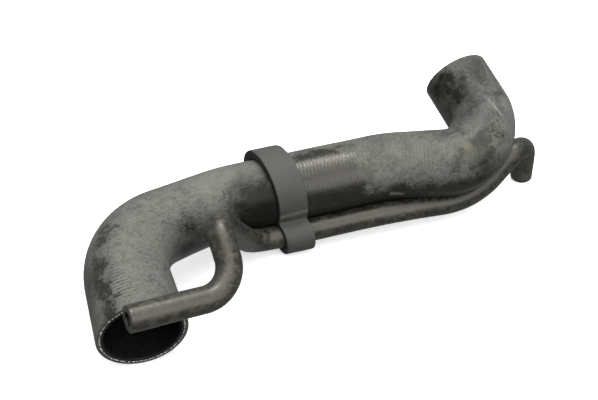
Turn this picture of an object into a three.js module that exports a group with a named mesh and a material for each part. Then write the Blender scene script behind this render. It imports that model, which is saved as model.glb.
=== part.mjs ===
// Radiator hose set of a car, lying at rest.
// A moulded main hose, a small bleed hose beside it, and a rubber band that ties the two together.
// Millimetres, +Z up. +X runs along the main hose's long straight, from its mouth to its far end.
// The origin is the middle of the set's outline, at the surface that it lies on.
import * as THREE from 'three';

// Main hose. Radii are outside radii. A turn is counted from +X towards +Y and a climb upwards, in degrees.
const mainWall = 4.4;
const mouthRadius = 25.9;
const runRadius = 21;
const farRadius = 21.9;
const nearLegLength = 68;
const nearLegTurn = -92.5;
const nearLegClimb = -14.6;
const nearBend = 48;
const shoulderLength = 86.2;
const shoulderTurn = 23.2;
const shoulderClimb = -4.95;
const shoulderBend = 58.5;
const runLength = 102.6;
const runTurn = -6.5;
const runClimb = 3.2;
const kinkBend = 82;
const farRunLength = 78.5;
const farRunTurn = -20.4;
const farRunClimb = 1.15;
const farBend = 26;
const farLegLength = 69;
const farLegTurn = 97.5;
const farLegClimb = 29.9;
// The hose narrows evenly over this length from its mouth
const mouthTaper = 166;
// and swells a little over this stretch, measured back from its far end
const farTaper = [22, 73];

// Bleed hose. A place at the mouth is so far ahead of it, and across and above its middle.
const bleedRadius = 7.5;
const bleedBore = 3.9;
const bleedEnd = { ahead: 14.8, across: -8.8, above: 34 };
const bleedCorner = { ahead: 5.6, across: 52.7, above: 24.9 };
const bleedCornerBend = 19.5;
// Beside the main hose, a side is counted from the front down, in degrees
const hairpinAt = 20.5;
const hairpinSide = -28.3;
const hairpinGap = 47.2;
const hairpinBend = 11.3;
const bandApproach = 13.8;
const besideBend = 20.5;
const bleedSide = 53.2;
const bleedWeb = 2.5;
const kinkFollowBend = 300;
const besideTo = 56;
const besideToSide = 91;
const riseBend = 66;
const hookTop = new THREE.Vector3(29.4, 26.1, -5.5);
const hookBend = 11.5;
const hookEnd = new THREE.Vector3(33.2, 35.3, -39.9);

// Band. Its heel is how far the big ring's outside sits off its hole, away from the bleed hose.
const bandAt = 29.7;
const bandWidth = 18.6;
const bandThickness = 2.4;
const lobeThickness = 3.3;
const bandFit = 0.5;
const bandHeel = 1.8;
const bandWaist = 1.5;
const bandEdge = 0.5;
const bandLean = 13.5;

// Fineness of the round surfaces
const mainSides = 36;
const bleedSides = 16;
const bandSides = 32;
const bendStep = 8;
const straightStep = 18;
const bleedStep = 4;

const up = new THREE.Vector3(0, 0, 1);
const rad = THREE.MathUtils.degToRad;

// A direction from its turn, counted from +X towards +Y, and its climb, both in degrees
function heading(turn, climb) {
  const flat = Math.cos(rad(climb));
  return new THREE.Vector3(flat * Math.cos(rad(turn)), flat * Math.sin(rad(turn)), Math.sin(rad(climb)));
}

// The round bend between two straights that meet at a corner
class Bend extends THREE.Curve {
  constructor(corner, back, on, radius) {
    super();
    this.turn = Math.PI - back.angleTo(on);
    this.radius = radius;
    this.reach = radius * Math.tan(this.turn / 2);
    this.start = corner.clone().addScaledVector(back, this.reach);
    this.end = corner.clone().addScaledVector(on, this.reach);
    const middle = back.clone().add(on).normalize();
    this.centre = corner.clone().addScaledVector(middle, radius / Math.cos(this.turn / 2));
    this.outward = this.start.clone().sub(this.centre).normalize();
    this.ahead = back.clone().negate();
  }

  getPoint(t, target = new THREE.Vector3()) {
    const angle = t * this.turn;
    return target.copy(this.centre)
      .addScaledVector(this.outward, this.radius * Math.cos(angle))
      .addScaledVector(this.ahead, this.radius * Math.sin(angle));
  }
}

// The centre line through a list of corners, each rounded by its own bend radius
function centreLine(start, corners, end) {
  const route = new THREE.CurvePath();
  const points = [start, ...corners.map((corner) => corner.at), end];
  let from = start;
  corners.forEach((corner, i) => {
    const back = points[i].clone().sub(corner.at).normalize();
    const on = points[i + 2].clone().sub(corner.at).normalize();
    const bend = new Bend(corner.at, back, on, corner.bend);
    route.add(new THREE.LineCurve3(from, bend.start));
    route.add(bend);
    from = bend.end;
  });
  route.add(new THREE.LineCurve3(from, end));
  return route;
}

// Distances along a route where its hose has a cross-section: close in the bends, wide apart on the straights
function marksAlong(route) {
  const marks = [0];
  let passed = 0;
  for (const curve of route.curves) {
    const length = curve.getLength();
    const pieces = curve.turn ? Math.ceil(curve.turn / rad(bendStep)) : Math.ceil(length / straightStep);
    for (let k = 1; k <= pieces; k++) marks.push(passed + length * k / pieces);
    passed += length;
  }
  return marks;
}

// The frame of each cross-section, square to the route and carried along it without twist
function sectionsAlong(route, marks) {
  const length = route.getLength();
  const swing = new THREE.Quaternion();
  let along = route.getTangent(0);
  const across = along.clone().cross(up).normalize();
  return marks.map((mark) => {
    const next = route.getTangent(mark / length);
    across.applyQuaternion(swing.setFromUnitVectors(along, next));
    along = next;
    const side = across.clone().cross(along);
    return { centre: route.getPoint(mark / length), across: across.clone(), side };
  });
}

// A hose whose radius changes along it: turned straight about Y as one closed wall, then laid on its route
function swelledHose(route, outside, wall, sides) {
  const marks = marksAlong(route);
  const outer = marks.map((mark) => new THREE.Vector2(outside(mark), mark));
  const inner = marks.map((mark) => new THREE.Vector2(outside(mark) - wall, mark)).reverse();
  const profile = [...outer, ...inner, outer[0].clone()];
  const hose = new THREE.LatheGeometry(profile, sides);
  const sections = sectionsAlong(route, marks);
  const ringOf = [...marks.keys(), ...[...marks.keys()].reverse(), 0];
  const spots = hose.attributes.position;
  const spot = new THREE.Vector3();
  for (let i = 0; i < spots.count; i++) {
    const { centre, across, side } = sections[ringOf[i % profile.length]];
    spot.copy(centre).addScaledVector(across, spots.getX(i)).addScaledVector(side, spots.getZ(i));
    spots.setXYZ(i, spot.x, spot.y, spot.z);
  }
  hose.computeVertexNormals();
  return hose;
}

// A hose of one size all along
function plainHose(route, outside, inside, sides) {
  const section = new THREE.Shape().absarc(0, 0, outside, 0, 2 * Math.PI, false);
  section.holes.push(new THREE.Path().absarc(0, 0, inside, 0, 2 * Math.PI, true));
  const steps = Math.round(route.getLength() / bleedStep);
  return new THREE.ExtrudeGeometry(section, {
    steps, curveSegments: sides / 2, bevelEnabled: false, extrudePath: route,
  });
}

function rubber(name, colour, roughness, geometry) {
  const mesh = new THREE.Mesh(geometry, new THREE.MeshStandardMaterial({ color: colour, roughness }));
  mesh.name = name;
  return mesh;
}

// Corners of the main hose, from its near corner
const nearCorner = new THREE.Vector3();
const legWay = heading(nearLegTurn, nearLegClimb);
const shoulderWay = heading(shoulderTurn, shoulderClimb);
const runWay = heading(runTurn, runClimb);
const farRunWay = heading(farRunTurn, farRunClimb);
const mouth = nearCorner.clone().addScaledVector(legWay, nearLegLength);
const shoulder = nearCorner.clone().addScaledVector(shoulderWay, shoulderLength);
const kink = shoulder.clone().addScaledVector(runWay, runLength);
const farCorner = kink.clone().addScaledVector(farRunWay, farRunLength);
const farEnd = farCorner.clone().addScaledVector(heading(farLegTurn, farLegClimb), farLegLength);

function mainRoute() {
  return centreLine(mouth, [
    { at: nearCorner, bend: nearBend },
    { at: shoulder, bend: shoulderBend },
    { at: kink, bend: kinkBend },
    { at: farCorner, bend: farBend },
  ], farEnd);
}

function mainHose() {
  const route = mainRoute();
  const length = route.getLength();
  const outside = (mark) => {
    const narrowed = Math.min(mark / mouthTaper, 1);
    const swelled = 1 - THREE.MathUtils.smoothstep(length - mark, ...farTaper);
    return mouthRadius + (runRadius - mouthRadius) * narrowed + (farRadius - runRadius) * swelled;
  };
  return rubber('main_hose', 0x4b4d49, 0.6, swelledHose(route, outside, mainWall, mainSides));
}

// The direction out from a stretch of the run, square to it, on the given side
function outFrom(way, side) {
  const out = new THREE.Vector3(0, -Math.cos(rad(side)), -Math.sin(rad(side)));
  return out.addScaledVector(way, -out.dot(way)).normalize();
}

// A place for the bleed hose beside the run, so far along it from a corner, with this gap between the hoses
function beside(corner, way, along, side, gap) {
  return corner.clone().addScaledVector(way, along)
    .addScaledVector(outFrom(way, side), runRadius + gap + bleedRadius);
}

// A place for the bleed hose in front of the mouth
function atMouth({ ahead, across, above }) {
  const sideways = up.clone().cross(legWay).normalize();
  const upright = legWay.clone().cross(sideways);
  return mouth.clone().addScaledVector(legWay, ahead)
    .addScaledVector(sideways, across).addScaledVector(upright, above);
}

function bleedRoute() {
  const besideFrom = bandAt - bandWidth / 2 - bandApproach;
  return centreLine(atMouth(bleedEnd), [
    { at: atMouth(bleedCorner), bend: bleedCornerBend },
    { at: beside(nearCorner, shoulderWay, hairpinAt, hairpinSide, hairpinGap), bend: hairpinBend },
    { at: beside(shoulder, runWay, besideFrom, bleedSide, bleedWeb), bend: besideBend },
    { at: beside(kink, runWay, 0, bleedSide, bleedWeb), bend: kinkFollowBend },
    { at: beside(kink, farRunWay, besideTo, besideToSide, bleedWeb), bend: riseBend },
    { at: farCorner.clone().add(hookTop), bend: hookBend },
  ], farCorner.clone().add(hookEnd));
}

function bleedHose() {
  return rubber('bleed_hose', 0x3d3c39, 0.5, plainHose(bleedRoute(), bleedRadius, bleedBore, bleedSides));
}

// Outline of the band: a ring round each hose, with a sharp waist between them
function bandShape() {
  const spacing = runRadius + bleedWeb + bleedRadius;
  const mainRing = runRadius + bandFit + bandThickness + bandHeel;
  const bleedRing = bleedRadius + bandFit + lobeThickness;
  const apart = spacing + bandHeel;
  const toWaist = mainRing + bandWaist;
  const fromWaist = bleedRing + bandWaist;
  const opens = Math.acos((toWaist ** 2 + apart ** 2 - fromWaist ** 2) / (2 * apart * toWaist));
  const waist = new THREE.Vector2(toWaist * Math.cos(opens) - bandHeel, toWaist * Math.sin(opens));
  const lobe = Math.atan2(waist.y, spacing - waist.x);
  const shape = new THREE.Shape();
  shape.absarc(-bandHeel, 0, mainRing, opens, 2 * Math.PI - opens, false);
  shape.absarc(waist.x, -waist.y, bandWaist, Math.PI - opens, lobe, true);
  shape.absarc(spacing, 0, bleedRing, lobe - Math.PI, Math.PI - lobe, false);
  shape.absarc(waist.x, waist.y, bandWaist, -lobe, opens - Math.PI, true);
  shape.holes.push(new THREE.Path().absarc(0, 0, runRadius + bandFit, 0, 2 * Math.PI, true));
  shape.holes.push(new THREE.Path().absarc(spacing, 0, bleedRadius + bandFit, 0, 2 * Math.PI, true));
  return shape;
}

function hoseBand() {
  const band = new THREE.ExtrudeGeometry(bandShape(), {
    depth: bandWidth - 2 * bandEdge, curveSegments: bandSides / 2,
    bevelThickness: bandEdge, bevelSize: bandEdge, bevelOffset: -bandEdge, bevelSegments: 1,
  });
  band.translate(0, 0, bandEdge - bandWidth / 2);
  const toBleed = outFrom(runWay, bleedSide);
  const turned = new THREE.Matrix4().makeBasis(toBleed, runWay.clone().cross(toBleed), runWay);
  const front = outFrom(runWay, 0).applyMatrix4(turned.clone().invert());
  const lean = Math.tan(rad(bandLean));
  band.applyMatrix4(new THREE.Matrix4().makeShear(0, front.x * lean, 0, front.y * lean, 0, 0));
  const mesh = rubber('hose_band', 0x686a65, 0.75, band);
  mesh.quaternion.setFromRotationMatrix(turned);
  mesh.position.copy(shoulder).addScaledVector(runWay, bandAt);
  return mesh;
}

const set = new THREE.Group();
set.add(mainHose(), bleedHose(), hoseBand());
const outline = new THREE.Box3().setFromObject(set, true);
const middle = outline.getCenter(new THREE.Vector3());
set.position.set(-middle.x, -middle.y, -outline.min.z);

export default set;
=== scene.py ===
# The looks of a car's radiator hose set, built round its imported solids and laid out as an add-on.
# Metres, +Z up. +X runs along the main hose's long straight, from its mouth to its far end.
import math

import bmesh
import bpy
import numpy as np
from bpy.props import FloatProperty, FloatVectorProperty, IntProperty, PointerProperty
from mathutils import Matrix, Vector, noise


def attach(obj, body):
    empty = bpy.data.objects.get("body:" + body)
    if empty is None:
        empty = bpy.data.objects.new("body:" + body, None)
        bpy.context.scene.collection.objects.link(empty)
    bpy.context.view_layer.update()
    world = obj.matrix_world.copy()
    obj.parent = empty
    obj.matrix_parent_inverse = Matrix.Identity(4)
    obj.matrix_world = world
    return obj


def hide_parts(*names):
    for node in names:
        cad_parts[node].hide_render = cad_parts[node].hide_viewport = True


bl_info = {
    "name": "Radiator hose set",
    "version": (1, 0, 0),
    "blender": (4, 5, 0),
    "location": "3D View > Sidebar > Hose set",
    "description": "Moulded radiator hose, bleed hose and the band that ties them, with their finishes",
    "category": "Add Mesh",
}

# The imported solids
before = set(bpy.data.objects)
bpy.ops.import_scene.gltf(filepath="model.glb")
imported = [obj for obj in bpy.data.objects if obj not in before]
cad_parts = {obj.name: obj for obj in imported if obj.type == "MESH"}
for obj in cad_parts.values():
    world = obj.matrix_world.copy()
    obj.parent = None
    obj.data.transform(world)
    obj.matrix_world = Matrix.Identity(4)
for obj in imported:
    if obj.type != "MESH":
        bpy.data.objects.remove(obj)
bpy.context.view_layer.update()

MM = 0.001
UP = Vector((0, 0, 1))


def heading(turn, climb):
    """A direction from its turn, counted from +X towards +Y, and its climb, both in degrees"""
    turn, climb = math.radians(turn), math.radians(climb)
    return Vector((math.cos(climb) * math.cos(turn), math.cos(climb) * math.sin(turn), math.sin(climb)))


# Main hose: the places of its corners, as its solid has them
NEAR_CORNER = Vector((-133.054, 15.144, 42.204)) * MM
LEG_WAY = heading(-92.5, -14.6)
RUN_WAY = heading(-6.5, 3.2)
SHOULDER_WAY = heading(23.2, -4.95)
FAR_RUN_WAY = heading(-20.4, 1.15)
MOUTH = NEAR_CORNER + LEG_WAY * 68 * MM
SHOULDER = NEAR_CORNER + SHOULDER_WAY * 86.2 * MM
KINK = SHOULDER + RUN_WAY * 102.6 * MM
FAR_CORNER = KINK + FAR_RUN_WAY * 78.5 * MM
FAR_END = FAR_CORNER + heading(97.5, 29.9) * 69 * MM
MAIN_BENDS = [48 * MM, 58.5 * MM, 82 * MM, 26 * MM]
# The mouth narrows over this length, and the far end swells between these two distances from its end
MOUTH_TAPER = 166 * MM
FAR_TAPER = (22 * MM, 73 * MM)

# Bleed hose: the radii of its bends, and its side of the run, in degrees from the front down
BLEED_BENDS = [19.5 * MM, 11.3 * MM, 20.5 * MM, 300 * MM, 66 * MM, 11.5 * MM]
BLEED_SIDE = 53.2
# Its places by the mouth, in mm ahead of it, across and above
HAIRPIN_START = (14.8, -8.8, 34)
HAIRPIN_TURN = (5.6, 52.7, 24.9)
# Its places beside the main hose: distance past a corner, side in degrees and gap
HAIRPIN_BACK = (20.5 * MM, -28.3, 47.2 * MM)
HOOK_APPROACH = (56 * MM, 91)
# How far before the band it comes in beside the run
BAND_APPROACH = 13.8 * MM
# Its hook, from the main hose's far corner
HOOK_TOP = Vector((29.4, 26.1, -5.5)) * MM
HOOK_END = Vector((33.2, 35.3, -39.9)) * MM

# How finely the skins are laid
MAIN_FACETS, BLEED_FACETS = 128, 48
ROWS_PER_RIB = 4
BLEED_STEP = 1 * MM
MAIN_BORE_STEP, BLEED_BORE_STEP = 3.5 * MM, 3 * MM
RIM_ROUNDING = 0.5 * MM
FACE_STEPS = 6
BAND_VOXEL = 0.5 * MM
BAND_SMOOTHING = 4

# Unevenness in layers, each with its height in mm, its size in mm and a seed
MAIN_UNEVEN = ((0.16, 26, 5.2), (0.05, 6, 9.4))
BLEED_UNEVEN = ((0.09, 11, 2.9), (0.03, 3, 6.1))
BAND_UNEVEN = ((0.2, 9, 4.4), (0.06, 2.5, 8.8))
# How a patch's edge wanders, as shares of its reach
PATCH_WANDER = ((1, 9, 3.1), (0.5, 3.5, 7.7))

# Stage: the middle of the view, and the place, aim and size of each light
VIEW_MIDDLE = Vector((-16.77, 24.27, 37.94)) * MM
KEY_LIGHT = ((0.0, -0.25, 1.25), (0, 0.02, 0.04), 1.5)
STRIP_LIGHT = ((0.15, 0.1, 1.1), (0, 0, 0.04), 0.3)
FRONT_LIGHT = ((0.4, -1.5, 0.7), (0, 0, 0.04), 1.2)
# Half the floor's width, and the strength of its own glow
FLOOR_REACH, FLOOR_GLOW = 4, 0.5
# The room's light fades between these heights of its direction, down to this share
ROOM_FADE, ROOM_LOW = (-0.5, 0.9), 0.5


class HoseSizes(bpy.types.PropertyGroup):
    """Sizes of the two hoses"""

    mouth_radius: FloatProperty(
        name="Mouth radius", description="Outside radius of the main hose at its mouth",
        default=25.9 * MM, min=0.01, unit="LENGTH", subtype="DISTANCE")
    run_radius: FloatProperty(
        name="Run radius", description="Outside radius of the main hose on its long run",
        default=21 * MM, min=0.01, unit="LENGTH", subtype="DISTANCE")
    far_radius: FloatProperty(
        name="Far radius", description="Outside radius of the main hose at its far end",
        default=21.9 * MM, min=0.01, unit="LENGTH", subtype="DISTANCE")
    main_wall: FloatProperty(
        name="Main wall", description="Wall thickness of the main hose",
        default=4.4 * MM, min=0.001, unit="LENGTH", subtype="DISTANCE")
    rib_pitch: FloatProperty(
        name="Rib pitch", description="Distance from one turn of yarn to the next under the cover",
        default=2.3 * MM, min=0.001, unit="LENGTH", subtype="DISTANCE")
    rib_height: FloatProperty(
        name="Rib height", description="How far the yarn stands out through the cover",
        default=0.055 * MM, min=0, unit="LENGTH", subtype="DISTANCE")
    oval: FloatProperty(
        name="Oval", description="How far the main hose's run bulges towards the bleed hose",
        default=2.1 * MM, min=0, unit="LENGTH", subtype="DISTANCE")
    oval_at: FloatProperty(
        name="Oval place", description="Distance of the bulge's middle from the mouth",
        default=225 * MM, unit="LENGTH", subtype="DISTANCE")
    oval_reach: FloatProperty(
        name="Oval reach", description="How far along the hose the bulge reaches each way",
        default=120 * MM, min=0.001, unit="LENGTH", subtype="DISTANCE")
    bleed_radius: FloatProperty(
        name="Bleed radius", description="Outside radius of the bleed hose",
        default=7.5 * MM, min=0.001, unit="LENGTH", subtype="DISTANCE")
    bleed_bore: FloatProperty(
        name="Bleed bore", description="Radius of the bleed hose's bore",
        default=3.9 * MM, min=0.0005, unit="LENGTH", subtype="DISTANCE")
    bleed_web: FloatProperty(
        name="Bleed web", description="Gap between the two hoses where they run side by side",
        default=2.5 * MM, min=0, unit="LENGTH", subtype="DISTANCE")
    bleed_sag: FloatProperty(
        name="Bleed sag", description="How far the bleed hose leans in towards the run",
        default=0.9 * MM, min=0, unit="LENGTH", subtype="DISTANCE")
    yarn_count: IntProperty(
        name="Yarn ends", description="Number of cut yarn ends that show in each rim",
        default=64, min=0)


class BandSizes(bpy.types.PropertyGroup):
    """Sizes of the figure-of-eight band"""

    at: FloatProperty(
        name="Place", description="Distance of the band's middle from the main hose's shoulder",
        default=29.7 * MM, unit="LENGTH", subtype="DISTANCE")
    width: FloatProperty(
        name="Width", description="Width of the band along the hoses",
        default=18.6 * MM, min=0.001, unit="LENGTH", subtype="DISTANCE")
    thickness: FloatProperty(
        name="Thickness", description="Wall of the big ring at its thinnest place",
        default=2.4 * MM, min=0.001, unit="LENGTH", subtype="DISTANCE")
    lobe_thickness: FloatProperty(
        name="Lobe thickness", description="Wall of the small ring",
        default=3.3 * MM, min=0.001, unit="LENGTH", subtype="DISTANCE")
    fit: FloatProperty(
        name="Fit", description="Gap between the band and the hoses in it",
        default=0.5 * MM, min=0, unit="LENGTH", subtype="DISTANCE")
    heel: FloatProperty(
        name="Heel", description="How far the outside of the big ring sits off its hole",
        default=1.8 * MM, min=0, unit="LENGTH", subtype="DISTANCE")
    waist: FloatProperty(
        name="Waist", description="Radius of the hollow between the two rings",
        default=1.5 * MM, min=0.0001, unit="LENGTH", subtype="DISTANCE")
    edge: FloatProperty(
        name="Edge", description="Rounding of the band's edges",
        default=0.9 * MM, min=0.0001, unit="LENGTH", subtype="DISTANCE")
    lean: FloatProperty(
        name="Lean", description="How far the band leans over towards the far end",
        default=math.radians(13.5), unit="ROTATION", subtype="ANGLE")


class RubberColours(bpy.types.PropertyGroup):
    """Colours of the rubber, its bloom and its cut ends"""

    clean_cover: FloatVectorProperty(
        name="Clean cover", description="Main hose's cover where it is wiped clean",
        subtype="COLOR", size=3, min=0, max=1, default=(0.0065, 0.0062, 0.0055))
    bloom: FloatVectorProperty(
        name="Bloom", description="Dusty grey bloom on the main hose",
        subtype="COLOR", size=3, min=0, max=1, default=(0.108, 0.112, 0.099))
    # Also tints the painted highlight on the ribs
    yellow_bloom_and_glint: FloatVectorProperty(
        name="Yellow bloom", description="Yellowish deposit in the bloom",
        subtype="COLOR", size=3, min=0, max=1, default=(0.092, 0.094, 0.046))
    bleed_cover: FloatVectorProperty(
        name="Bleed cover", description="Bleed hose's rubber",
        subtype="COLOR", size=3, min=0, max=1, default=(0.0105, 0.0098, 0.0075))
    bleed_haze: FloatVectorProperty(
        name="Bleed haze", description="Haze on the bleed hose",
        subtype="COLOR", size=3, min=0, max=1, default=(0.058, 0.0565, 0.042))
    band: FloatVectorProperty(
        name="Band", description="Band's rubber",
        subtype="COLOR", size=3, min=0, max=1, default=(0.043, 0.0455, 0.040))
    scuff: FloatVectorProperty(
        name="Scuff", description="Whitish scuff marks on the main hose",
        subtype="COLOR", size=3, min=0, max=1, default=(0.3, 0.3, 0.28))
    yarn: FloatVectorProperty(
        name="Yarn", description="Cut yarn ends in the rims",
        subtype="COLOR", size=3, min=0, max=1, default=(0.8, 0.8, 0.76))


class StageLook(bpy.types.PropertyGroup):
    """Camera and light"""

    azimuth: FloatProperty(
        name="Azimuth", description="Camera's turn round the set", default=math.radians(-18.59),
        unit="ROTATION", subtype="ANGLE")
    elevation: FloatProperty(
        name="Elevation", description="Camera's height as an angle", default=math.radians(31.69),
        unit="ROTATION", subtype="ANGLE")
    roll: FloatProperty(
        name="Roll", description="Camera's roll about its line of sight", default=math.radians(-3.17),
        unit="ROTATION", subtype="ANGLE")
    distance: FloatProperty(
        name="Distance", description="Camera's distance from the middle of its view", default=0.685,
        min=0.05, unit="LENGTH", subtype="DISTANCE")
    lens: FloatProperty(
        name="Lens", description="Focal length on a sensor 36 mm wide", default=66.22, min=10)
    key_power: FloatProperty(
        name="Key light", description="Power of the big soft light overhead", default=21, min=0)
    strip_share: FloatProperty(
        name="Strip light", description="Power of the small light overhead against the key light",
        default=0.26, min=0)
    front_share: FloatProperty(
        name="Front light", description="Power of the front light against the key light",
        default=0.9, min=0)
    world_strength: FloatProperty(
        name="Room light", description="Strength of the even light all round", default=0.65, min=0)
    floor: FloatVectorProperty(
        name="Floor", description="Pale floor", subtype="COLOR", size=3, min=0, max=1,
        default=(0.86, 0.86, 0.85))


# Routes and skins ------------------------------------------------------------


class CentreLine:
    """The middle of a hose: straights between its corners, each rounded by its own bend"""

    def __init__(self, start, corners, end, bends):
        self.length = 0.0
        self.stretches = []
        stops = [start, *corners, end]
        begin = start
        for at, radius, before, after in zip(corners, bends, stops, stops[2:]):
            back = (before - at).normalized()
            on = (after - at).normalized()
            turn = math.pi - back.angle(on)
            reach = radius * math.tan(turn / 2)
            middle = at + (back + on).normalized() * (radius / math.cos(turn / 2))
            entry = at + back * reach
            self.add_straight(begin, entry)
            self.stretches.append((self.length, middle, (entry - middle).normalized(), -back, radius))
            self.length += radius * turn
            begin = at + on * reach
        self.add_straight(begin, end)

    def add_straight(self, begin, end):
        """A straight stretch: how far along it begins, from where and which way"""
        self.stretches.append((self.length, begin, (end - begin).normalized(), None, 0))
        self.length += (end - begin).length

    def at(self, distance):
        """Point and direction at a distance along the hose"""
        found = self.stretches[0]
        for stretch in self.stretches:
            if stretch[0] <= distance:
                found = stretch
        passed, origin, way, ahead, radius = found
        past = distance - passed
        if ahead is None:
            return origin + way * past, way.copy()
        angle = past / radius
        out = way * math.cos(angle) + ahead * math.sin(angle)
        return origin + out * radius, ahead * math.cos(angle) - way * math.sin(angle)

    def sections(self, distances):
        """Centre, across and side of the cross-sections at these distances, carried along without twist"""
        ahead = self.at(0)[1]
        across = ahead.cross(UP).normalized()
        carried = {}
        for distance in sorted(set([0.0, *distances])):
            centre, direction = self.at(min(max(distance, 0), self.length))
            across.rotate(ahead.rotation_difference(direction))
            across = (across - direction * across.dot(direction)).normalized()
            ahead = direction
            carried[distance] = (*centre, *across, *across.cross(ahead))
        table = np.array([carried[distance] for distance in distances])
        return table[:, 0:3], table[:, 3:6], table[:, 6:9]


def evenly(begin, end, step):
    """Numbers from begin to end, about a step apart"""
    return list(np.linspace(begin, end, max(2, round(abs(end - begin) / step) + 1)))


def wall_profile(length, wall, outer_step, inner_step):
    """Rows of a hose's wall, as distance along it and depth in it: outside, far rim, bore, near rim"""
    fillet = RIM_ROUNDING
    to_rim = length - fillet
    quarter = [math.radians(a) for a in (0, 30, 60)]
    rows = [(s, 0.0) for s in evenly(fillet, to_rim, outer_step)[1:-1]]
    far_out = [(to_rim + fillet * math.sin(a), fillet * (1 - math.cos(a))) for a in quarter]
    face = [(length, fillet + (wall - 2 * fillet) * k / FACE_STEPS) for k in range(FACE_STEPS + 1)]
    far_in = [(to_rim + fillet * math.cos(a), wall - fillet * (1 - math.sin(a))) for a in quarter[1:]]
    rim = far_out + face + far_in + [(to_rim, wall)]
    rows += rim
    rows += [(s, wall) for s in evenly(to_rim, fillet, inner_step)[1:-1]]
    rows += [(length - s, depth) for s, depth in reversed(rim)]
    return rows


def out_from(way, side):
    """Direction out from a stretch of the run, square to it, on a side counted from the front down"""
    side = math.radians(side)
    out = Vector((0, -math.cos(side), -math.sin(side)))
    return (out - way * out.dot(way)).normalized()


def placed(name, data):
    """A new object that holds this data, linked to the scene"""
    holder = bpy.data.objects.new(name, data)
    bpy.context.scene.collection.objects.link(holder)
    return holder


def ring_skin(name, spots, rows, sides):
    """A closed skin over rings of points, the last ring joined to the first"""
    ring = np.arange(rows)[:, None] * sides
    turn = np.arange(sides)[None, :]
    after = (np.arange(rows)[:, None] + 1) % rows * sides
    onward = (turn + 1) % sides
    quads = np.stack([ring + turn, ring + onward, after + onward, after + turn], axis=-1).reshape(-1, 4)
    mesh = bpy.data.meshes.new(name)
    mesh.from_pydata(spots.reshape(-1, 3).tolist(), [], quads.tolist())
    mesh.update()
    piece = placed(name, mesh)
    shade(piece)
    return piece


def shade(piece):
    """Faces outwards and smooth"""
    shape = bmesh.new()
    shape.from_mesh(piece.data)
    bmesh.ops.recalc_face_normals(shape, faces=shape.faces)
    shape.to_mesh(piece.data)
    shape.free()
    piece.data.shade_smooth()


def note(piece, name, values):
    """Keeps a number for each point, for the finish to read"""
    attribute = piece.data.attributes.new(name, "FLOAT", "POINT")
    attribute.data.foreach_set("value", np.asarray(values, np.float32).ravel())


def grain(spots, size, seed):
    """Soft noise of about this size at each point, from -1 to 1"""
    shift = Vector((seed, seed * 0.7, -seed))
    flat = spots.reshape(-1, 3) / size
    return np.array([noise.noise(Vector(spot) + shift) for spot in flat]).reshape(spots.shape[:-1])


def uneven(spots, layers):
    """Noise in layers, each with its height, its size in mm and a seed"""
    return sum(height * grain(spots, size * MM, seed) for height, size, seed in layers)


def hump(distance, reach):
    """1 at the middle, 0 from reach on, smooth between"""
    near = np.clip(1 - distance / reach, 0, 1)
    return near * near * (3 - 2 * near)


def painted(spots, base, patches, ragged):
    """A base value with patches laid over it: each has a place in mm, a reach in mm and what it adds"""
    value = np.full(spots.shape[:-1], base)
    wander = 1 + ragged * uneven(spots, PATCH_WANDER)
    for place, reach, amount in patches:
        distance = np.linalg.norm(spots - np.array(place) * MM, axis=-1) * wander
        value = value + amount * hump(distance, reach * MM)
    return np.clip(value, 0, 1)


# Finishes --------------------------------------------------------------------

# Colours that stay as they are, and the tints of the rubbers' gloss
LINER_DARK, LINER_LIGHT = (0.005, 0.005, 0.005), (0.010, 0.010, 0.0095)
CUT_FACE = (0.05, 0.048, 0.044)
BLEED_BORE = (0.004, 0.004, 0.004)
# Painted shade, with some soil, on the band's face towards the mouth
BAND_SOIL_AND_SHADE = (0.006, 0.006, 0.005)
YARN_SOIL = (0.12, 0.118, 0.11)
MAIN_SHEEN, BLEED_SHEEN = (1, 0.97, 0.89), (1, 0.97, 0.88)
# How much longer than wide a hairline is
HAIR_STRETCH = 9


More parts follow.
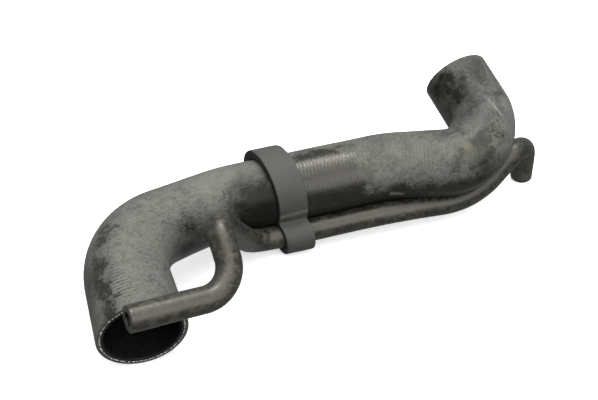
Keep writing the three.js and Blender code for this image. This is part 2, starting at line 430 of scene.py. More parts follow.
class Finish:
    """A procedural material in the making, with short ways to add to it"""

    def __init__(self, name):
        self.material = bpy.data.materials.new(name)
        self.material.use_nodes = True
        self.tree = self.material.node_tree
        self.shader = self.tree.nodes["Principled BSDF"]
        self.place = self.put("ShaderNodeTexCoord").outputs["Object"]

    def put(self, kind, inputs=(), **settings):
        """A new node with these inputs, each a value or another node's output"""
        node = self.tree.nodes.new(kind)
        for key, value in settings.items():
            setattr(node, key, value)
        for key, value in dict(inputs).items():
            self.feed(node.inputs[key], value)
        return node

    def feed(self, socket, value):
        """Links an output to a socket, or sets the socket to a value"""
        if isinstance(value, bpy.types.NodeSocket):
            self.tree.links.new(value, socket)
        elif hasattr(value, "__len__") and len(value) == 3 and socket.type == "RGBA":
            socket.default_value = (*value, 1)
        else:
            socket.default_value = value

    def noise(self, size, detail, rough=0.6, distortion=0.0, place=None):
        """Noise whose features are about this size"""
        node = self.put("ShaderNodeTexNoise", {
            "Vector": place or self.place, "Scale": 1 / size, "Detail": detail,
            "Roughness": rough, "Distortion": distortion})
        return node.outputs["Fac"]

    def hairs(self, size, *two_turns):
        """Hairlines of about this width, lying in two directions: 1 on a line"""
        sets = []
        for turn in two_turns:
            laid = self.put("ShaderNodeMapping", {
                "Vector": self.place, "Rotation": turn, "Scale": (1 / HAIR_STRETCH, 1, 1)})
            sets.append(self.span(self.noise(size, 3, 0.5, 0.4, laid.outputs[0]), 0.6, 0.68))
        return self.maths("MAXIMUM", *sets)

    def wavy(self, size, amount):
        """Object coordinates, pushed about by noise"""
        node = self.put("ShaderNodeTexNoise", {"Vector": self.place, "Scale": 1 / size, "Detail": 3.0})
        push = self.put("ShaderNodeVectorMath", {
            0: node.outputs["Color"], 1: (0.5, 0.5, 0.5)}, operation="SUBTRACT")
        scaled = self.put("ShaderNodeVectorMath", {0: push.outputs[0], "Scale": amount}, operation="SCALE")
        moved = self.put("ShaderNodeVectorMath", {0: self.place, 1: scaled.outputs[0]}, operation="ADD")
        return moved.outputs[0]

    def noted(self, name):
        """A number kept for each point by note"""
        return self.put("ShaderNodeAttribute", attribute_name=name).outputs["Fac"]

    def span(self, value, low, high, to_low=0.0, to_high=1.0):
        """Value carried from one span to another, and held within it"""
        node = self.put("ShaderNodeMapRange", {
            "Value": value, "From Min": low, "From Max": high, "To Min": to_low, "To Max": to_high},
            interpolation_type="SMOOTHSTEP")
        return node.outputs["Result"]

    def maths(self, operation, a, b, clamp=False):
        """What a sum gives, held between 0 and 1 if it is clamped"""
        return self.put("ShaderNodeMath", {0: a, 1: b}, operation=operation, use_clamp=clamp).outputs[0]

    def added(self, first, *others):
        """Values added up"""
        for other in others:
            first = self.maths("ADD", first, other)
        return first

    def times(self, first, *others):
        """Values multiplied"""
        for other in others:
            first = self.maths("MULTIPLY", first, other)
        return first

    def mixed(self, share, a, b):
        """Colour a, with this share of colour b"""
        node = self.tree.nodes.new("ShaderNodeMix")
        node.data_type = "RGBA"
        self.feed(node.inputs["Factor"], share)
        self.feed(next(i for i in node.inputs if i.name == "A" and i.type == "RGBA"), a)
        self.feed(next(i for i in node.inputs if i.name == "B" and i.type == "RGBA"), b)
        return next(o for o in node.outputs if o.name == "Result" and o.type == "RGBA")

    def bump(self, height, depth, strength, under=None):
        """A surface's relief, laid over another one"""
        inputs = {"Height": height, "Distance": depth, "Strength": strength}
        if under is not None:
            inputs["Normal"] = under
        return self.put("ShaderNodeBump", inputs).outputs["Normal"]

    def set(self, **sockets):
        """Sets the shader's own sockets and hands over the material"""
        for name, value in sockets.items():
            self.feed(self.shader.inputs[name.replace("_", " ")], value)
        return self.material


def main_cover(colours):
    """Main hose: black cover under a mottled grey bloom, with a black liner and a dark cut face"""
    finish = Finish("main_cover")
    bloom, rubbed, ribs, depth = (finish.noted(name) for name in ("bloom", "rubbed", "ribs", "depth"))
    cloud = finish.noise(11 * MM, 4, 0.6, 0.8)
    mottle = finish.noise(3.4 * MM, 8, 0.7, 0.9, finish.wavy(5 * MM, 2 * MM))
    speck = finish.noise(1.5 * MM, 5, 0.72, 0.3)
    hairs = finish.hairs(0.9 * MM, (0, 0.3, 0.5), (0.4, 0, -0.7))
    # How much bloom covers the rubber: clouded, mottled and specked, worn off in patches, with painted
    # highlight lines on the rib crests
    cover = finish.added(
        bloom, finish.span(cloud, 0.32, 0.68, -0.12, 0.12), finish.span(mottle, 0.36, 0.64, -0.2, 0.14),
        finish.span(speck, 0.32, 0.68, -0.2, 0.2), finish.times(hairs, 0.38))
    wear = finish.added(finish.times(rubbed, 0.16), finish.times(mottle, 0.5), finish.times(speck, 0.5))
    kept = finish.span(wear, 0.57, 0.645, 1, 0.05)
    cover = finish.times(cover, kept, finish.span(bloom, 0.04, 0.3, 0.25))
    cover = finish.maths("ADD", cover, finish.times(ribs, 0.5), clamp=True)
    colour = finish.mixed(cover, colours.clean_cover, colours.bloom)
    # Yellow deposit in the bloom, which also tints the painted highlight on the ribs; dark matt patches,
    # partly painted shade; and scuffs
    tint = finish.times(finish.noted("yellow"), finish.span(speck, 0.45, 0.55, 0.1, 1))
    tint = finish.maths("MULTIPLY", tint, finish.span(cover, 0.05, 0.4, 0.1, 1), clamp=True)
    colour = finish.mixed(tint, colour, colours.yellow_bloom_and_glint)
    # Dark matt patches: matt rubber, and painted shade beside the band and in the crotch behind the bleed
    # hose's hairpin
    dulled_and_shaded = finish.maths(
        "MULTIPLY", finish.noted("dulled_and_shaded"), finish.span(mottle, 0.36, 0.6, 1.1, 0.75), clamp=True)
    colour = finish.mixed(dulled_and_shaded, colour, colours.clean_cover)
    scuffs = finish.maths(
        "MULTIPLY", finish.noted("scuffs"), finish.span(speck, 0.42, 0.55, 0.15, 1), clamp=True)
    colour = finish.mixed(scuffs, colour, colours.scuff)
    # The liner in the bore, and the cut face between it and the cover
    liner = finish.mixed(finish.span(speck, 0.35, 0.65), LINER_DARK, LINER_LIGHT)
    colour = finish.mixed(finish.span(depth, 0.5, 0.8), colour, liner)
    face = finish.times(finish.span(depth, 0.06, 0.16), finish.span(depth, 0.62, 0.5))
    colour = finish.mixed(finish.times(face, 0.8), colour, CUT_FACE)
    roughness = finish.span(cover, 0, 0.7, 0.3, 0.66)
    roughness = finish.added(roughness, finish.span(speck, 0.3, 0.7, -0.06, 0.06))
    shine = finish.times(finish.span(dulled_and_shaded, 0, 0.8, 0.42, 0.12), finish.span(depth, 0.5, 0.8, 1, 0.4))
    pits = finish.bump(speck, 0.16 * MM, finish.span(cover, 0, 0.4, 0.2, 0.6))
    skin = finish.bump(mottle, 0.3 * MM, finish.span(cover, 0, 0.4, 0.12, 0.35), pits)
    return finish.set(Base_Color=colour, Roughness=roughness, Normal=skin, Specular_IOR_Level=shine,
                      Specular_Tint=MAIN_SHEEN)


def bleed_cover(colours):
    """Bleed hose: satin brownish black with a thin haze, and a black bore"""
    finish = Finish("bleed_cover")
    haze, depth = finish.noted("haze"), finish.noted("depth")
    mottle = finish.noise(5 * MM, 5, 0.6, 0.5)
    speck = finish.noise(0.9 * MM, 4, 0.65)
    blotch = finish.noise(2.5 * MM, 5, 0.65, 0.8)
    scratches = finish.hairs(0.8 * MM, (0, 0.2, 0.2), (0.3, 0, -0.9))
    share = finish.added(
        haze, finish.span(mottle, 0.36, 0.64, -0.25, 0.25), finish.span(speck, 0.34, 0.66, -0.2, 0.2),
        finish.span(blotch, 0.36, 0.64, -0.2, 0.2))
    share = finish.maths("ADD", share, finish.times(scratches, 0.35), clamp=True)
    colour = finish.mixed(share, colours.bleed_cover, colours.bleed_haze)
    colour = finish.mixed(finish.span(depth, 0.9, 1.0), colour, BLEED_BORE)
    roughness = finish.span(share, 0, 0.8, 0.34, 0.6)
    skin = finish.bump(speck, 0.12 * MM, 0.5)
    skin = finish.bump(mottle, 0.5 * MM, 0.25, skin)
    return finish.set(Base_Color=colour, Roughness=roughness, Normal=skin, Specular_IOR_Level=0.5,
                      Specular_Tint=BLEED_SHEEN)


def band_cover(colours):
    """Band: matt grey moulded rubber, with pale streaks of painted light, and painted shade with some soil
    on its face towards the mouth
    """
    finish = Finish("band_cover")
    lighter, darker, painted_light_tone = ([c * share for c in colours.band] for share in (1.22, 0.62, 3.2))
    mottle = finish.noise(7 * MM, 5, 0.55, 0.4)
    speck = finish.noise(0.8 * MM, 4, 0.6)
    colour = finish.mixed(finish.span(mottle, 0.3, 0.7), colours.band, lighter)
    colour = finish.mixed(finish.span(speck, 0.35, 0.7, 0, 0.35), colour, darker)
    # Painted light: pale streaks along the low edge and down the front
    colour = finish.mixed(finish.noted("band_painted_light"), colour, painted_light_tone)
    # Painted shade, with some soil, on the face towards the mouth
    soiled_and_shaded = finish.maths(
        "MULTIPLY", finish.noted("soiled_and_shaded"), finish.span(mottle, 0.3, 0.6, 0.75, 1), clamp=True)
    colour = finish.mixed(soiled_and_shaded, colour, BAND_SOIL_AND_SHADE)
    roughness = finish.span(mottle, 0.3, 0.7, 0.66, 0.8)
    skin = finish.bump(speck, 0.1 * MM, 0.5)
    return finish.set(Base_Color=colour, Roughness=roughness, Normal=skin, Specular_IOR_Level=0.4)


def yarn_white(colours):
    """Cut yarn ends: whitish fibre, stained by rubber"""
    finish = Finish("yarn_white")
    soil = finish.noise(0.7 * MM, 3)
    colour = finish.mixed(finish.span(soil, 0.35, 0.65), YARN_SOIL, colours.yarn)
    return finish.set(Base_Color=colour, Roughness=finish.span(soil, 0.3, 0.7, 0.4, 0.7))


def pale_floor(colour):
    """Floor: plain and pale, with a glow of its own that leaves only faint shadows on it"""
    finish = Finish("pale_floor")
    tone = finish.noise(90 * MM, 2)
    colour = finish.mixed(finish.span(tone, 0.3, 0.7), colour, [c * 0.985 for c in colour])
    return finish.set(
        Base_Color=colour, Roughness=0.9, Emission_Color=(1, 1, 1), Emission_Strength=FLOOR_GLOW)


# Main hose -------------------------------------------------------------------

# Patches of the finish: each a place in mm, its reach in mm and how much it adds
BLOOM_WEAR_AND_PAINTED_LIGHT = [
    # The first two patches are painted shade beside the band, on rubber wiped clean there
    ((-46, 27.8, 43.5), 27, -0.35), ((-38, 28, 33), 28, -0.5),
    ((-2, 24.9, 48.4), 30, -1), ((-6, 30, 56), 26, -0.9), ((8, 22, 40), 27, -0.9), ((14, 32, 57), 16, -0.5),
    ((-156, -20, 40), 22, -0.5), ((-142, -48, 34), 20, -0.2), ((-64, 36, 58), 30, 0.3),
    # On this line the first two patches paint a highlight streak down the near leg, and the last one paints
    # light on the leg's right side
    ((-141.8, -44.1, 52.2), 10, 0.12), ((-142, -36, 54.5), 9, 0.08), ((-110, -8, 46), 22, 0.25),
]
RUBBED = [
    ((-143.5, -1.2, 58.6), 13, 0.9), ((-150.2, -19.2, 52.9), 15, 1), ((-138, 10, 60), 10, 0.6),
    ((-151, -32, 45), 12, 0.7), ((-150, -38, 50), 9, 0.9), ((-151, -48, 46), 11, 0.95),
    ((-153, -57, 41), 10, 0.8), ((-119, 4, 57), 9, 0.5), ((-90, 10, 47), 13, 0.65), ((-66, 28, 47), 15, 0.6),
    ((45.6, 17.6, 31.6), 16, 0.9), ((99, 5, 49), 17, 0.8), ((86, 8.5, 44), 16, 0.9), ((97, 5, 57), 20, 0.45),
    ((108, 14, 67), 26, 0.6), ((112, 12, 60), 12, 0.35), ((110, 46, 86), 24, 0.55), ((100, 40, 76), 16, 0.5),
]
DULLED_AND_SHADED = [
    # On this line the first two patches are painted shade beside the band, on rubber wiped clean there; the
    # next two are painted shade in the crotch behind the bleed hose's hairpin, over a dark smudge
    ((-46, 28, 44), 30, 0.75), ((-38, 28, 32), 27, 0.9), ((-88, 8, 40), 22, 0.5), ((-60, 20, 34), 20, 0.5),
    ((40, 32, 60), 30, 0.3), ((80, 26, 62), 28, 0.35), ((99.7, 3, 46), 24, 0.55), ((102, 25, 70), 26, 0.25),
    ((108, 42, 82), 36, 0.45), ((122, 56, 94), 30, 0.35), ((95.6, 49, 75.4), 19, 0.6),
    ((93, 60, 82), 18, 0.6),
]
# The yellow patch at (6, 31, 56.5) tints the painted highlight on the ribs right of the band
YELLOW_DEPOSIT_AND_GLINT = [
    ((-67, 33.4, 56.5), 13, 0.35), ((92, 7, 57), 13, 1), ((104, 6, 59), 9, 0.6), ((113, 8, 63), 9, 1),
    ((6, 31, 56.5), 26, 0.8), ((63, 19, 58), 16, 0.3),
]
# Patches where the ribs stand out, and where their crests also get painted highlight lines
RIBBED_AND_GLINTING = [
    ((-141.8, -45, 52), 9, 1.1), ((-142, -37, 54), 8, 0.9), ((-141, -29, 56), 7, 0.5),
    ((-10, 32, 56), 9, 1), ((-2, 31, 56.5), 9, 1), ((6, 31, 57), 9, 1), ((14, 30, 57.5), 9, 0.8),
    ((22, 28, 58), 8, 0.5), ((31, 26, 58), 8, 0.3), ((57, 18, 57), 9, 0.5), ((67, 16, 57), 9, 0.5),
    ((77, 13, 57), 8, 0.35), ((62, 13, 48), 7, 0.25),
]
# How ragged the edges of the ribbed patches are
RIB_EDGE = 0.3
# What the finish reads off patches alone, and how ragged their edges are
PAINTED = {"rubbed": (RUBBED, 0.5), "dulled_and_shaded": (DULLED_AND_SHADED, 0.35), "yellow": (YELLOW_DEPOSIT_AND_GLINT, 0.4)}
# Streaks from place to place, with their half width and strength
SCUFFS = [
    ((43, 17.4, 32), (50, 16.4, 30.8), 1.2, 0.6), ((117.2, 25.2, 75.2), (120.2, 19, 69.6), 0.8, 0.55),
    ((114.6, 30, 78), (117.2, 25.2, 75.2), 0.7, 0.4), ((47, 18.8, 35.5), (49, 18.4, 34.4), 0.9, 0.5),
]
# Bloom on the main hose where no patch changes it
MAIN_BLOOM = 0.72
# How far from a rim the ribs and the unevenness reach their full height
RELIEF_FADE = 3 * MM


def streaked(spots, streaks):
    """How strongly streaks show at each point"""
    value = np.zeros(spots.shape[:-1])
    for begin, end, half_width, strength in streaks:
        begin, end = np.array(begin) * MM, np.array(end) * MM
        share = np.clip((spots - begin) @ (end - begin) / ((end - begin) @ (end - begin)), 0, 1)
        distance = np.linalg.norm(spots - begin - share[..., None] * (end - begin), axis=-1)
        value = np.maximum(value, strength * hump(distance, 2 * half_width * MM))
    return value


def main_line():
    """The main hose's middle, from its mouth to its far end"""
    return CentreLine(MOUTH, [NEAR_CORNER, SHOULDER, KINK, FAR_CORNER], FAR_END, MAIN_BENDS)


def main_radius(sizes, distance, length):
    """Outside radius of the main hose at these distances along it"""
    narrowed = np.clip(distance / MOUTH_TAPER, 0, 1)
    back = np.clip((length - distance - FAR_TAPER[0]) / (FAR_TAPER[1] - FAR_TAPER[0]), 0, 1)
    swelled = 1 - back * back * (3 - 2 * back)
    return (sizes.mouth_radius + (sizes.run_radius - sizes.mouth_radius) * narrowed
            + (sizes.far_radius - sizes.run_radius) * swelled)


def laid(line, along, radius, sides, relief):
    """Points of a hose's rings, each square to the line, and their directions out from it"""
    centre, across, side = line.sections(list(along))
    angle = np.arange(sides) * (2 * math.pi / sides)
    out = across[:, None] * np.cos(angle)[None, :, None] + side[:, None] * np.sin(angle)[None, :, None]
    spots = centre[:, None] + out * radius[:, :, None]
    return spots + out * relief(out, spots)[:, :, None], out


def make_main_hose(sizes, colours):
    """The main hose's skin, with the numbers that its finish reads"""
    line = main_line()
    rows = wall_profile(line.length, sizes.main_wall, sizes.rib_pitch / ROWS_PER_RIB, MAIN_BORE_STEP)
    along, depth = (np.array(column)[:, None] for column in zip(*rows))
    to_rim = np.minimum(along, line.length - along)
    outside = np.where(depth == 0, np.clip(to_rim / RELIEF_FADE, 0, 1), 0)
    turn = along / sizes.rib_pitch + np.arange(MAIN_FACETS)[None, :] / MAIN_FACETS
    rib = outside * np.sin(2 * math.pi * turn)
    to_bleed = np.array(out_from(RUN_WAY, BLEED_SIDE))

    def relief(out, spots):
        bulge = hump(np.abs(along - sizes.oval_at), sizes.oval_reach) ** 0.5
        bulge = bulge * np.clip(out @ to_bleed, 0, 1) ** 2
        ribbed = 0.5 + 0.4 * grain(spots, 22 * MM, 1.3) + painted(spots, 0, RIBBED_AND_GLINTING, RIB_EDGE)
        skin = MM * uneven(spots, MAIN_UNEVEN) + sizes.oval * bulge
        return outside * skin + sizes.rib_height * rib * ribbed

    radius = main_radius(sizes, along, line.length) - depth
    spots, out = laid(line, along[:, 0], radius, MAIN_FACETS, relief)
    hose = ring_skin("main_hose_cover", spots, len(rows), MAIN_FACETS)
    note(hose, "depth", np.repeat(depth / sizes.main_wall, MAIN_FACETS))
    # Bloom only on what faces up: dust that settles there, and painted shade that keeps the underside dark
    settled_and_shaded = hump(0.15 - out[..., 2] - 0.12 * grain(spots, 8 * MM, 2.2), 0.6)
    note(hose, "bloom", painted(spots, MAIN_BLOOM, BLOOM_WEAR_AND_PAINTED_LIGHT, 0.35) * settled_and_shaded)
    # Painted highlight lines on the rib crests, in the ribbed patches
    note(hose, "ribs", rib * painted(spots, 0, RIBBED_AND_GLINTING, RIB_EDGE))
    for name, (patches, ragged) in PAINTED.items():
        note(hose, name, painted(spots, 0, patches, ragged))
    note(hose, "scuffs", streaked(spots, SCUFFS))
    hose.data.materials.append(main_cover(colours))
    return hose


# Yarn ends, in mm: half their length, thickness and height, how far they stray and stand out of the rim
YARN_LONG, YARN_THICK, YARN_HIGH = 0.9, 0.34, 0.16
YARN_STRAY, YARN_PROUD = 0.25, 0.02


def make_yarn_ends(sizes, colours):
    """Short stubs of yarn, cut off at both rims"""
    line = main_line()
    shape = bmesh.new()
    for distance, outward in ((0.0, -1), (line.length, 1)):
        centre, direction = line.at(distance)
        across, side = (Vector(rows[0]) for rows in line.sections([distance])[1:])
        radius = float(main_radius(sizes, distance, line.length)) - sizes.main_wall * 0.5
        for k in range(sizes.yarn_count):
            wobble = noise.noise(Vector((k * 1.7, outward * 3.0, 0.5)))
            second = noise.noise(Vector((k * 2.3, outward * 5.0, 8.5)))
            angle = 2 * math.pi * (k + 0.35 * wobble) / sizes.yarn_count
            out = across * math.cos(angle) + side * math.sin(angle)
            sweep = side * math.cos(angle) - across * math.sin(angle)
            middle = centre + out * (radius + YARN_STRAY * MM * second)
            middle = middle + direction * outward * YARN_PROUD * MM
            stub = bmesh.ops.create_icosphere(shape, subdivisions=2, radius=1)["verts"]
            turned = Matrix((sweep * YARN_LONG * (1 + wobble) * MM, out * (YARN_THICK + 0.3 * second) * MM,
                             direction * outward * YARN_HIGH * MM)).transposed()
            for vert in stub:
                ripple = 1 + 0.18 * noise.noise(vert.co * 2.3 + Vector((k, 0, outward)))
                vert.co = middle + turned @ (vert.co * ripple)
    mesh = bpy.data.meshes.new("yarn_ends")
    shape.to_mesh(mesh)
    shape.free()
    mesh.shade_smooth()
    mesh.materials.append(yarn_white(colours))
    return placed("yarn_ends", mesh)


# Bleed hose ------------------------------------------------------------------


def beside(sizes, corner, way, along, side, gap):
    """A place of the bleed hose beside the main hose, along from one of its corners"""
    return corner + way * along + out_from(way, side) * (sizes.run_radius + gap + sizes.bleed_radius)


def at_mouth(ahead, across, above):
    """A place of the bleed hose in front of the mouth"""
    sideways = UP.cross(LEG_WAY).normalized()
    upright = LEG_WAY.cross(sideways)
    return MOUTH + LEG_WAY * ahead * MM + sideways * across * MM + upright * above * MM


def bleed_line(sizes, band):
    """The bleed hose's middle: hairpin by the mouth, run beside the main hose, hook at the far end"""
    web = sizes.bleed_web - sizes.bleed_sag
    before_band = band.at - band.width / 2 - BAND_APPROACH
    corners = [
        at_mouth(*HAIRPIN_TURN),
        beside(sizes, NEAR_CORNER, SHOULDER_WAY, *HAIRPIN_BACK),
        beside(sizes, SHOULDER, RUN_WAY, before_band, BLEED_SIDE, web),
        beside(sizes, KINK, RUN_WAY, 0, BLEED_SIDE, web),
        beside(sizes, KINK, FAR_RUN_WAY, *HOOK_APPROACH, web),
        FAR_CORNER + HOOK_TOP,
    ]
    return CentreLine(at_mouth(*HAIRPIN_START), corners, FAR_CORNER + HOOK_END, BLEED_BENDS)


# Haze on the bleed hose where no patch changes it, and its patches
BLEED_HAZE = 0.14
HAZE_AND_PAINTED_LIGHT = [
    ((-120, -80, 62), 30, 0.1), ((-88, -66, 52), 26, 0.15), ((-80, -20, 66), 20, -0.1),
    # On this line, the patch at (161, 44, 4) lifts the hook's shaded lower end: painted light
    ((-56, 0, 37), 24, 0.3), ((140, 25, 26), 22, -0.15), ((161, 44, 4), 30, 0.8), ((-30, 24, 26), 40, 0.1),
]


def make_bleed_hose(sizes, band, colours):
    """The bleed hose's skin, with the numbers that its finish reads"""
    line = bleed_line(sizes, band)
    wall = sizes.bleed_radius - sizes.bleed_bore
    rows = wall_profile(line.length, wall, BLEED_STEP, BLEED_BORE_STEP)
    along, depth = (np.array(column)[:, None] for column in zip(*rows))

    def relief(out, spots):
        return (depth == 0) * MM * uneven(spots, BLEED_UNEVEN)

    spots, _ = laid(line, along[:, 0], sizes.bleed_radius - depth, BLEED_FACETS, relief)
    hose = ring_skin("bleed_hose_cover", spots, len(rows), BLEED_FACETS)
    note(hose, "depth", np.repeat(depth / wall, BLEED_FACETS))
    # Haze, with painted light on the hook's lower end
    note(hose, "haze", painted(spots, BLEED_HAZE, HAZE_AND_PAINTED_LIGHT, 0.3))
    hose.data.materials.append(bleed_cover(colours))
    return hose


# Band ------------------------------------------------------------------------

# Painted light as pale streaks: along the band's low edge, in the hollow of its waist, and down its front
BAND_PAINTED_LIGHT = [((-31, 23.4, 28.9), (-13, 20.9, 31.3), 1.3, 0.9), ((-14, 42, 62), (-12.5, 22, 33), 0.7, 0.35)]
# Points in the band's outline: round each ring and waist, and round each hole
RING_POINTS, LOBE_POINTS, WAIST_POINTS = 150, 70, 8
MAIN_HOLE_POINTS, BLEED_HOLE_POINTS = 129, 65


def arc(middle, radius, begin, end, count):
    """Points round part of a circle"""
    steps = np.linspace(begin, end, count)
    return [Vector((middle[0] + radius * math.cos(a), middle[1] + radius * math.sin(a), 0)) for a in steps]


def band_outlines(band, sizes):
    """The band's outline, drawn in to a waist between its rings, and its two holes"""
    spacing = sizes.run_radius + sizes.bleed_web + sizes.bleed_radius
    main_ring = sizes.run_radius + band.fit + band.thickness + band.heel
    bleed_ring = sizes.bleed_radius + band.fit + band.lobe_thickness
    apart = spacing + band.heel
    to_waist = main_ring + band.waist
    from_waist = bleed_ring + band.waist
    opens = math.acos((to_waist**2 + apart**2 - from_waist**2) / (2 * apart * to_waist))
    waist = (to_waist * math.cos(opens) - band.heel, to_waist * math.sin(opens))
    lobe = math.atan2(waist[1], spacing - waist[0])
    outline = arc((-band.heel, 0), main_ring, opens, 2 * math.pi - opens, RING_POINTS)
    outline += arc((waist[0], -waist[1]), band.waist, math.pi - opens, lobe, WAIST_POINTS)[1:]
    outline += arc((spacing, 0), bleed_ring, lobe - math.pi, math.pi - lobe, LOBE_POINTS)[1:]
    outline += arc(waist, band.waist, -lobe, opens - math.pi, WAIST_POINTS)[1:-1]
    main_hole = arc((0, 0), sizes.run_radius + band.fit, 0, 2 * math.pi, MAIN_HOLE_POINTS)[:-1]
    bleed_hole = arc((spacing, 0), sizes.bleed_radius + band.fit, 0, 2 * math.pi, BLEED_HOLE_POINTS)[:-1]
    return outline, main_hole, bleed_hole


def band_blank(band, sizes):
    """The band as it is moulded, flat on the ground and with even, rounded edges"""
    drawing = bpy.data.curves.new("band_drawing", "CURVE")
    drawing.dimensions = "2D"
    drawing.fill_mode = "BOTH"
    for points in band_outlines(band, sizes):
        spline = drawing.splines.new("POLY")
        spline.points.add(len(points) - 1)
        for point, at in zip(spline.points, points):
            point.co = (*at, 1)
        spline.use_cyclic_u = True
    drawing.extrude = band.width / 2 - band.edge
    drawing.bevel_depth = band.edge
    drawing.bevel_resolution = 3
    drawing.offset = -band.edge
    drawn = placed("band_drawing", drawing)
    bpy.context.view_layer.update()
    mesh = bpy.data.meshes.new_from_object(drawn)
    bpy.data.objects.remove(drawn)
    piece = placed("hose_band_cover", mesh)
    bpy.context.view_layer.objects.active = piece
    even = piece.modifiers.new("even_out", "REMESH")
    even.mode = "VOXEL"
    even.voxel_size = BAND_VOXEL
    bpy.ops.object.modifier_apply(modifier=even.name)
    smooth = piece.modifiers.new("round_off", "SMOOTH")
    smooth.factor = 0.5
    smooth.iterations = BAND_SMOOTHING
    bpy.ops.object.modifier_apply(modifier=smooth.name)
    return piece


def make_hose_band(band, sizes, colours):
    """The band leant over and set round both hoses, with the numbers that its finish reads"""
    piece = band_blank(band, sizes)
    to_bleed = out_from(RUN_WAY, BLEED_SIDE)
    turned = Matrix((to_bleed, RUN_WAY.cross(to_bleed), RUN_WAY)).transposed()
    front = turned.inverted() @ out_from(RUN_WAY, 0)
    spots = np.empty(len(piece.data.vertices) * 3)
    piece.data.vertices.foreach_get("co", spots)
    spots = spots.reshape(-1, 3)
    spots[:, 2] += (spots[:, 0] * front.x + spots[:, 1] * front.y) * math.tan(band.lean)
    middle = SHOULDER + RUN_WAY * band.at
    spots = spots @ np.array(turned).T + np.array(middle)
    normals = np.array([vert.normal for vert in piece.data.vertices]) @ np.array(turned).T
    spots = spots + normals * MM * uneven(spots, BAND_UNEVEN)[:, None]
    piece.data.vertices.foreach_set("co", spots.ravel())
    piece.data.update()
    shade(piece)
    facing_mouth = normals @ -np.array(RUN_WAY) + 0.25 * grain(spots, 2.5 * MM, 6.6)
    # Painted light: pale streaks along the band's low edge and down its front
    note(piece, "band_painted_light", streaked(spots, BAND_PAINTED_LIGHT) * (0.75 + 0.5 * grain(spots, 3 * MM, 1.9)))
    # Painted shade, with some soil, on what faces the mouth
    note(piece, "soiled_and_shaded", 1 - hump(facing_mouth - 0.45, 0.35))
    piece.data.materials.append(band_cover(colours))
    return piece


# Operators -------------------------------------------------------------------


class HOSE_SET_OT_stage(bpy.types.Operator):
    """Lay the pale floor and set the soft lights and the camera"""

    bl_idname = "hose_set.stage"
    bl_label = "Stage"

    def execute(self, context):
        look = context.scene.hose_stage
        floor_mesh = bpy.data.meshes.new("floor")
        shape = bmesh.new()
        bmesh.ops.create_grid(shape, x_segments=8, y_segments=8, size=FLOOR_REACH)
        shape.to_mesh(floor_mesh)
        shape.free()
        floor_mesh.materials.append(pale_floor(look.floor))
        floor = placed("floor", floor_mesh)
        floor.visible_diffuse = False
        floor.visible_glossy = False
        context.scene.world = soft_room(look.world_strength)
        soft_light("key_light", *KEY_LIGHT, look.key_power)
        soft_light("strip_light", *STRIP_LIGHT, look.key_power * look.strip_share)
        soft_light("front_light", *FRONT_LIGHT, look.key_power * look.front_share)
        set_camera(look)
        context.scene.view_settings.view_transform = "Standard"
        return {"FINISHED"}


def soft_room(strength):
    """Even light that fades from overhead down to the floor"""
    world = bpy.data.worlds.new("soft_room")
    world.use_nodes = True
    tree = world.node_tree
    way = tree.nodes.new("ShaderNodeTexCoord").outputs["Generated"]
    parts = tree.nodes.new("ShaderNodeSeparateXYZ")
    fade = tree.nodes.new("ShaderNodeMapRange")
    fade.interpolation_type = "SMOOTHSTEP"
    fade.inputs["From Min"].default_value = ROOM_FADE[0]
    fade.inputs["From Max"].default_value = ROOM_FADE[1]
    fade.inputs["To Min"].default_value = ROOM_LOW * strength
    fade.inputs["To Max"].default_value = strength
    tree.links.new(way, parts.inputs[0])
    tree.links.new(parts.outputs["Z"], fade.inputs["Value"])
    tree.links.new(fade.outputs["Result"], tree.nodes["Background"].inputs["Strength"])
    tree.nodes["Background"].inputs["Color"].default_value = (1, 1, 1, 1)
    return world


def soft_light(name, place, towards, size, power):
    """A square soft light at a place, turned towards another"""
    lamp = bpy.data.lights.new(name, "AREA")
    lamp.shape = "SQUARE"
    lamp.size = size
    lamp.energy = power
    holder = placed(name, lamp)
    holder.location = place
    holder.rotation_euler = (Vector(towards) - Vector(place)).to_track_quat("-Z", "Y").to_euler()


def set_camera(look):
    """Camera turned round the middle of its view by azimuth, elevation and roll"""
    right = Vector((math.cos(look.azimuth), math.sin(look.azimuth), 0))
    back = right.cross(UP) * math.cos(look.elevation) + UP * math.sin(look.elevation)
    top = back.cross(right)
    right, top = (right * math.cos(look.roll) + top * math.sin(look.roll),
                  top * math.cos(look.roll) - right * math.sin(look.roll))
    camera = bpy.data.cameras.new("camera")
    camera.lens = look.lens
    camera.sensor_width = 36
    holder = placed("camera", camera)
    place = VIEW_MIDDLE + back * look.distance
    holder.matrix_world = Matrix.Translation(place) @ Matrix((right, top, back)).transposed().to_4x4()
    bpy.context.scene.camera = holder


class HOSE_SET_OT_main_hose(bpy.types.Operator):
    """Make the moulded main hose with its yarn ribs and bloom"""

    bl_idname = "hose_set.main_hose"
    bl_label = "Main hose"

    def execute(self, context):
        hose = make_main_hose(context.scene.hose_sizes, context.scene.rubber_colours)
        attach(hose, "root")
        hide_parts("main_hose")
        return {"FINISHED"}


class HOSE_SET_OT_yarn_ends(bpy.types.Operator):
    """Make the cut yarn ends that show in the main hose's rims"""

    bl_idname = "hose_set.yarn_ends"
    bl_label = "Yarn ends"

    def execute(self, context):
        ends = make_yarn_ends(context.scene.hose_sizes, context.scene.rubber_colours)
        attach(ends, "root")
        return {"FINISHED"}


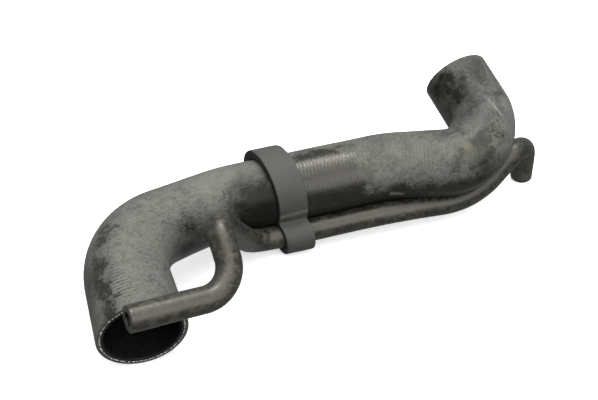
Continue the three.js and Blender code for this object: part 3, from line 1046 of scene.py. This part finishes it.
class HOSE_SET_OT_bleed_hose(bpy.types.Operator):
    """Make the small bleed hose"""

    bl_idname = "hose_set.bleed_hose"
    bl_label = "Bleed hose"

    def execute(self, context):
        scene = context.scene
        hose = make_bleed_hose(scene.hose_sizes, scene.band_sizes, scene.rubber_colours)
        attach(hose, "root")
        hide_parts("bleed_hose")
        return {"FINISHED"}


class HOSE_SET_OT_hose_band(bpy.types.Operator):
    """Make the figure-of-eight band that ties the two hoses"""

    bl_idname = "hose_set.hose_band"
    bl_label = "Hose band"

    def execute(self, context):
        scene = context.scene
        band = make_hose_band(scene.band_sizes, scene.hose_sizes, scene.rubber_colours)
        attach(band, "root")
        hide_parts("hose_band")
        return {"FINISHED"}


OPERATORS = (HOSE_SET_OT_stage, HOSE_SET_OT_main_hose, HOSE_SET_OT_yarn_ends, HOSE_SET_OT_bleed_hose,
             HOSE_SET_OT_hose_band)


class HOSE_SET_PT_panel(bpy.types.Panel):
    """Lists the pieces of the hose set"""

    bl_label = "Hose set"
    bl_idname = "HOSE_SET_PT_panel"
    bl_space_type = "VIEW_3D"
    bl_region_type = "UI"
    bl_category = "Hose set"

    def draw(self, context):
        for operator in OPERATORS:
            self.layout.operator(operator.bl_idname)


GROUPS = {"hose_sizes": HoseSizes, "band_sizes": BandSizes, "rubber_colours": RubberColours,
          "hose_stage": StageLook}


def register():
    for group in GROUPS.values():
        bpy.utils.register_class(group)
    for name, group in GROUPS.items():
        setattr(bpy.types.Scene, name, PointerProperty(type=group))
    for operator in OPERATORS:
        bpy.utils.register_class(operator)
    bpy.utils.register_class(HOSE_SET_PT_panel)


def unregister():
    bpy.utils.unregister_class(HOSE_SET_PT_panel)
    for operator in reversed(OPERATORS):
        bpy.utils.unregister_class(operator)
    for name in GROUPS:
        delattr(bpy.types.Scene, name)
    for group in reversed(GROUPS.values()):
        bpy.utils.unregister_class(group)


def main():
    register()
    bpy.ops.hose_set.stage()
    bpy.ops.hose_set.main_hose()
    bpy.ops.hose_set.yarn_ends()
    bpy.ops.hose_set.bleed_hose()
    bpy.ops.hose_set.hose_band()


if __name__ == "__main__":
    main()
